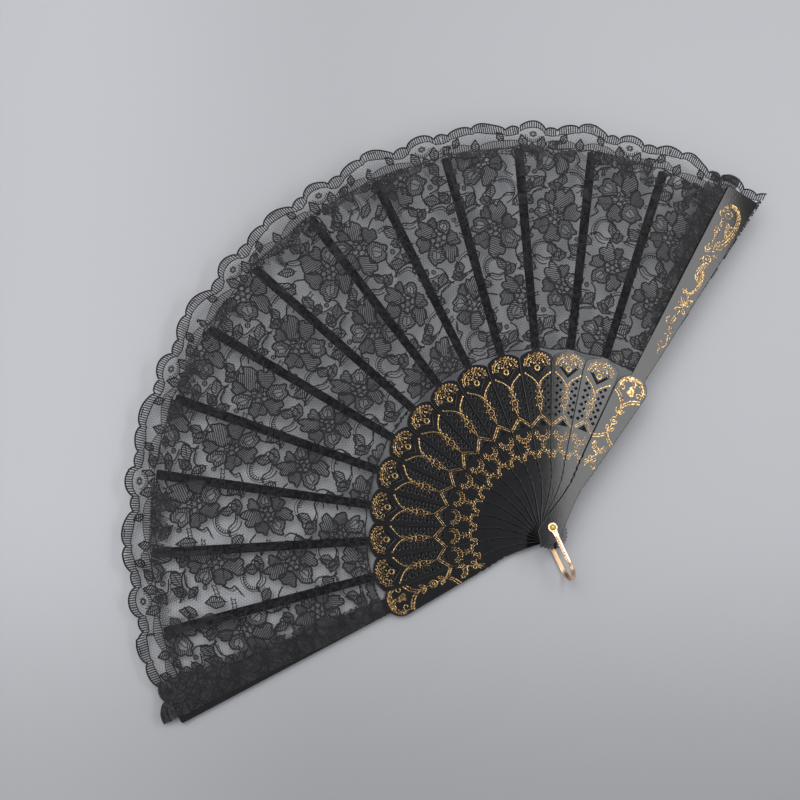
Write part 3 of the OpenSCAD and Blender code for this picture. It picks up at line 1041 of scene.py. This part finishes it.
class Threads:
    """Flat threads and rounded cords of one panel, gathered and made into one mesh."""

    def __init__(self, height):
        self.height = height
        self.v, self.f, self.m, self.n = [], [], [], 0

    def ribbons(self, seg, w, dz, mat, bulge=0.0):
        if not len(seg):
            return
        d = seg[:, 1] - seg[:, 0]
        ln = np.maximum(np.linalg.norm(d, axis=1, keepdims=True), 1e-6)
        d = d / ln
        a, b = seg[:, 0] - d * w[:, None] * 0.2, seg[:, 1] + d * w[:, None] * 0.2
        q = np.stack([-d[:, 1], d[:, 0]], -1) * w[:, None] / 2
        za, zb = self.height(a[:, 0], a[:, 1]) + dz, self.height(b[:, 0], b[:, 1]) + dz

        def at(p, z):
            return np.concatenate([p, z[:, None]], 1)
        if bulge:
            cols = [at(a + q, za), at(a, za + bulge), at(a - q, za),
                    at(b + q, zb), at(b, zb + bulge), at(b - q, zb)]
            faces = [(0, 1, 4, 3), (1, 2, 5, 4)]
        else:
            cols = [at(a + q, za), at(a - q, za), at(b - q, zb), at(b + q, zb)]
            faces = [(0, 1, 2, 3)]
        k = len(cols)
        self.v.append(np.stack(cols, 1).reshape(-1, 3))
        base = self.n + k * np.arange(len(seg))
        for f in faces:
            self.f.append(base[:, None] + np.array(f))
            self.m.append(np.full(len(seg), mat))
        self.n += k * len(seg)

    def mesh(self, name):
        me = mesh_from(name, np.concatenate(self.v).tolist(), np.concatenate(self.f).tolist(), YARN)
        me.materials.append(CORD)
        me.polygons.foreach_set("material_index", np.concatenate(self.m).astype(np.int32))
        me.validate()
        me.shade_smooth()
        return me


# where a blossom sits in each panel, and how far the lace is turned there: x, y, degrees
PLACES = {1: (7.2, 178, -9), 2: (10.7, 186.6, -9), 3: (6.4, 157, -8), 4: (3.4, 184, -5),
          5: (1.7, 180, -5), 6: (1.6, 133.5, -3), 7: (5.4, 150.2, 0), 8: (-7.7, 192.6, 7),
          9: (-6.7, 175.7, 8), 10: (0.8, 174.3, 6), 11: (1, 180.5, 5), 12: (-1, 155.6, 5),
          13: (-4.5, 185.2, 6)}
# doubled, gathered patches inside the tips: from, to (share of the width), depth in mm, layers
GATHERS = {1: [(0, 0.35, 16, 2), (0.6, 1, 7, 1)], 2: [(0.05, 0.45, 13, 1), (0.7, 1, 9, 1)],
           3: [(0.05, 0.85, 16, 2)], 4: [(0.3, 1, 9, 1), (0.8, 1, 14, 2)], 5: [(0.1, 0.7, 14, 2)],
           6: [(0, 0.45, 12, 2), (0.7, 1, 8, 1)], 7: [(0, 1, 11, 2)],
           8: [(0.2, 1, 12, 2)], 9: [(0, 0.35, 26, 2), (0.3, 0.95, 11, 1)],
           10: [(0, 0.55, 13, 2), (0.55, 1, 7, 1)], 11: [(0, 0.35, 12, 2), (0.35, 0.9, 8, 1)],
           12: [(0.05, 0.9, 14, 2)], 13: [(0.35, 1, 20, 2)]}
# how far the border's repeat moves on from one panel to the next
BORDER_STEP = 46.0
# (thread's height over the leaf, its material, how far it bulges) for fills and for cords
STYLES = ((0.05, 0, 0.0), (0.09, 1, 0.14))
NET_PITCH, NET_W = 1.7, 0.11
# how many loose layers of the leaf's edge are turned in at both ends of the fan
TURNED_LAYERS = 3


CLEAR = 0.06


def lace_panel(k):
    """The pleat between sticks k - 1 and k, made in mm about +Y and then turned into place."""
    left, right = stick_angle(k - 1), stick_angle(k)
    h = radians((left - right) / 2)
    ch, sh = cos(h), sin(h)
    z_low = (REAR_Z + GUARD_T if k == 1 else stick_z(k - 1) + STICK_T) - STEP + CLEAR
    rise = PITCH
    if k == 1:
        rise = stick_z(1) + STICK_T - STEP + CLEAR - z_low
    elif k == N + 1:
        rise = 0.28
    seed = 1.7 * k
    half = 250 * sh / ch + 14
    along = BORDER_STEP * (k - 0.5)

    def height(x, y):
        tr, tl = y * sh - x * ch, y * sh + x * ch
        t = np.clip((4.6 - tr) / 1.7, 0, 1)
        z = z_low + rise * t * t * (3 - 2 * t)
        mid = np.clip(np.minimum(tl - 3, tr - 5) / 6, 0, 1)
        z = z - mid * (0.28 + 0.2 * np.sin(y / 9.0 + seed) + 0.12 * np.sin(x / 3.1 + y / 5.0))
        out = np.clip((y - TIP) / 13, 0, 1) ** 1.3
        free = np.clip((tr - 11) / 6, 0, 1) if k == N + 1 else 1.0
        s = x + along
        wave = 1.1 + 1.2 * np.sin(s / 3.4 + 0.8 * np.sin(s / 9.0)) + 0.5 * np.sin(y / 1.9)
        return z + out * free * wave

    threads = Threads(height)

    def cut(seg, w, y0=LACE_IN, fit_edge=True):
        # the rear and front edges lie past the guards' centre lines, widening towards the tips
        for side, last, near, far in ((-1, 1, 4.3, 6.6), (1, N + 1, 3.9, 12.6)):
            g = atan((far - near) / (248 - 94)) if k == last else 0.0
            lim = near - 94 * tan(g) if k == last else 0.0
            seg, w = clip(seg, w, (side * cos(h + g), -sin(h + g)), lim)
        seg, w = clip(seg, w, (0, -1), -y0)
        if fit_edge and len(seg):
            mid = seg.mean(1)
            keep = mid[:, 1] < edge(mid[:, 0] + along) - 0.1
            seg, w = seg[keep], w[keep]
        return seg, w

    def warp(seg):
        x, y = seg[..., 0], seg[..., 1]
        fade = np.clip((TIP + 4 - y) / 12, 0, 1)
        dx = 1.5 * np.sin(y / 17.0 + 1.3 * k) + 0.6 * np.sin(x / 5.0 + y / 6.0 + k)
        dy = 1.1 * np.sin(x / 9.0 + 0.7 * k) + 0.6 * np.sin(y / 5.5 + 2.1 * k)
        return seg + np.stack([dx * fade, dy * fade], -1)

    def layer(x0, y0, turn, dz, keep=None, flip=False, border_at=along):
        net = hex_net(-half, half, LACE_IN - 3, 242, NET_PITCH)
        parts = [(turned(net, turn, 170), np.full(len(net), NET_W), (0.0, 0, 0.0))]
        for (seg, w), style in zip(FIELD, STYLES):
            seg, w = clip(warp(turned(seg, turn) + [x0, y0]), w, (0, 1), TIP - 1.0)
            parts.append((seg, w, style))
        for (seg, w), style in zip(BORDER, STYLES):
            near = np.abs(seg[:, 0, 0] - border_at) < half + 5
            parts.append((seg[near] - [border_at, 0], w[near], style))
        for seg, w, (up, mat, bulge) in parts:
            if flip:
                seg = seg * [1, -1] + [0, 2 * TIP + 1.0]
            seg, w = split(seg, w)
            seg, w = cut(seg, w, fit_edge=not flip)
            if keep is not None and len(seg):
                mid = seg.mean(1)
                ok = keep(mid[:, 0], mid[:, 1])
                seg, w = seg[ok], w[ok]
            threads.ribbons(seg, w, dz + up, mat, bulge)

    x0, y0, turn = PLACES[k]
    y0 += ROW * (k % 3 == 0)
    layer(x0, y0, turn, 0.0)
    # the edge of the leaf where it starts under the shoulders, and the line of the tips
    for y, w in ((LACE_IN + 0.4, 0.7), (TIP - 0.4, 0.55)):
        xs = np.arange(-half, half, 1.0)
        pts = np.stack([xs, y + 0.35 * np.sin(xs / 2.3 + k)], -1)
        seg = np.stack([pts[:-1], pts[1:]], 1)
        seg, ws = cut(seg, np.full(len(seg), w), LACE_IN - 1)
        threads.ribbons(seg, ws, 0.16, 1, 0.15)
    for a, b, depth, layers in GATHERS[k]:
        def patch(x, y, a=a, b=b, depth=depth):
            u = (x / np.maximum(y * sh / ch, 1) + 1) / 2
            ragged = 0.62 + 0.25 * np.sin(x / 2.1 + seed) + 0.18 * np.sin(x / 0.9 + 2 * seed)
            low = TIP - depth * ragged
            side = 0.04 * np.sin(y / 1.7 + seed)
            return (y > low) & (y < TIP + 0.6) & (u > a + side) & (u < b + side)
        dense = hex_net(-half, half, TIP - depth * 1.3, TIP + 3, 0.95 if layers > 1 else 1.15)
        seg, w = cut(turned(dense, 12, TIP), np.full(len(dense), 0.24))
        ok = patch(*seg.mean(1).T)
        threads.ribbons(seg[ok], w[ok], 0.3, 0)
        if layers > 1:
            layer(x0 + 13, y0, turn + 11, 0.42, patch, True, along + 17)
    # at both ends of the fan the leaf's edge is turned in, in loose layers
    if k in (1, N + 1):
        def turned_in(x, y):
            past = y * sh + (x if k == 1 else -x) * ch
            if k == 1:
                wide = np.interp(y, (104, 153, 230, 240), (4.8, 9.4, 14.8, 14.8)) + 0.5 * np.sin(y / 2.3)
                return past < wide
            wide = np.interp(y, (104, 128, 180, 232), (6.0, 8.5, 17.0, 23.0)) + 1.2 * np.sin(y / 3.1)
            return (past < wide) & (past > 5.5)
        for i in range(TURNED_LAYERS):
            dz = 0.3 + 0.2 * i if k == 1 else 0.1 + 0.1 * i
            layer(x0 + 13, y0 + 11 + 9 * i, turn + 21 - 17 * i, dz, turned_in, False, along + 20 + 17 * i)

    me = threads.mesh(f"lace_{k:02d}")
    o = linked(f"lace_{k:02d}_leaf", me)
    mid = (left + right) / 2
    me.transform(Matrix.Rotation(radians(mid - 90), 4, "Z"))
    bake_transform(o)
    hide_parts(f"lace_panel_{k:02d}")


for k in range(1, N + 2):
    lace_panel(k)


# ---- floor, light and camera
def painted_falloff(nt, along, start, end, low, high):
    """A grey that runs from low to high between two places along a direction, in metres; it paints the
    light's fall-off on the backdrop.
    """
    co = nt.nodes.new("ShaderNodeTexCoord")
    dot = nt.nodes.new("ShaderNodeVectorMath")
    dot.operation = "DOT_PRODUCT"
    dot.inputs[1].default_value = along
    nt.links.new(co.outputs["Object"], dot.inputs[0])
    r = nt.nodes.new("ShaderNodeMapRange")
    r.interpolation_type = "SMOOTHSTEP"
    for socket, value in zip(("From Min", "From Max", "To Min", "To Max"), (start, end, low, high)):
        r.inputs[socket].default_value = value
    nt.links.new(dot.outputs["Value"], r.inputs["Value"])
    return r.outputs["Result"]


def multiplied(nt, colour, grey):
    m = nt.nodes.new("ShaderNodeVectorMath")
    m.operation = "SCALE"
    nt.links.new(colour, m.inputs[0])
    nt.links.new(grey, m.inputs["Scale"])
    return m.outputs["Vector"]


BACKDROP_HALF = 12000


def build_stage():
    m, nt, p = material("backdrop", (0.5, 0.505, 0.53), 0.75, Specular_IOR_Level=0.15)
    cloudy = ramp(nt, noise(nt, 1.2, 4), (0.35, (0.635, 0.637, 0.66)), (0.65, (0.655, 0.657, 0.68)))
    # the backdrop's grey is painted darker towards the bottom and the right of the view: painted fall-off
    # of the light
    near = painted_falloff(nt, (0.69, 0.72, 0), -0.16, 0.02, 0.74, 1.0)
    side = painted_falloff(nt, (0.72, -0.69, 0), -0.29, -0.11, 0.97, 0.80)
    nt.links.new(multiplied(nt, multiplied(nt, cloudy, near), side), p.inputs["Base Color"])
    bump(nt, p, noise(nt, 1800, 2), 0.00003, 0.3)
    s = BACKDROP_HALF
    corners = [(-s, -s, 0), (s, -s, 0), (s, s, 0), (-s, s, 0)]
    linked("backdrop", mesh_from("backdrop", corners, [(0, 1, 2, 3)], m))


def area_light(name, at, towards, size, power, spread, turn=0.0):
    d = bpy.data.lights.new(name, "AREA")
    d.shape = "RECTANGLE"
    d.size, d.size_y = size
    d.energy = power
    d.spread = radians(spread)
    o = linked(name, d)
    aim = (Vector(towards) - Vector(at)).to_track_quat("-Z", "Y")
    o.matrix_world = (Matrix.Translation(at) @ aim.to_matrix().to_4x4()
                      @ Matrix.Rotation(radians(turn), 4, "Z"))


def build_lights():
    area_light("key", (-0.27, 1.0, 1.35), (-0.15, 0.36, 0), (2.4, 1.6), 5.6, 62)
    area_light("fill_left", (-1.15, 0.05, 1.2), (-0.1, 0.2, 0), (1.0, 1.4), 0.9, 110)
    area_light("fill_low", (0.35, -1.05, 1.2), (0.05, 0.1, 0), (1.6, 0.8), 1.3, 120)
    area_light("strip", (0.281, 0.009, 0.5), (0.281, 0.009, 0), (0.40, 0.147), 0.80, 180, 45)
    scene.world = bpy.data.worlds.new("studio")
    scene.world.use_nodes = True
    sky = scene.world.node_tree.nodes["Background"]
    sky.inputs["Color"].default_value = (0.9, 0.93, 1.0, 1)
    sky.inputs["Strength"].default_value = 0.33


# where the camera stands and looks, in metres, and how far it is rolled, in degrees
EYE, TARGET, ROLL = Vector((-0.27712, 0.08733, 1.10434)), Vector((-0.009289, 0.110522, 0)), 43.547


def build_camera():
    cam = bpy.data.cameras.new("camera")
    cam.lens, cam.sensor_width = 90, 36
    cam.clip_start, cam.clip_end = 0.05, 10
    o = linked("camera", cam)
    z = (EYE - TARGET).normalized()
    c, s = unit(ROLL)
    x = Vector((s, c, 0)).cross(z).normalized()
    o.matrix_world = Matrix((x, z.cross(x), z)).transposed().to_4x4()
    o.matrix_world.translation = EYE
    scene.camera = o


build_stage()
build_lights()
build_camera()
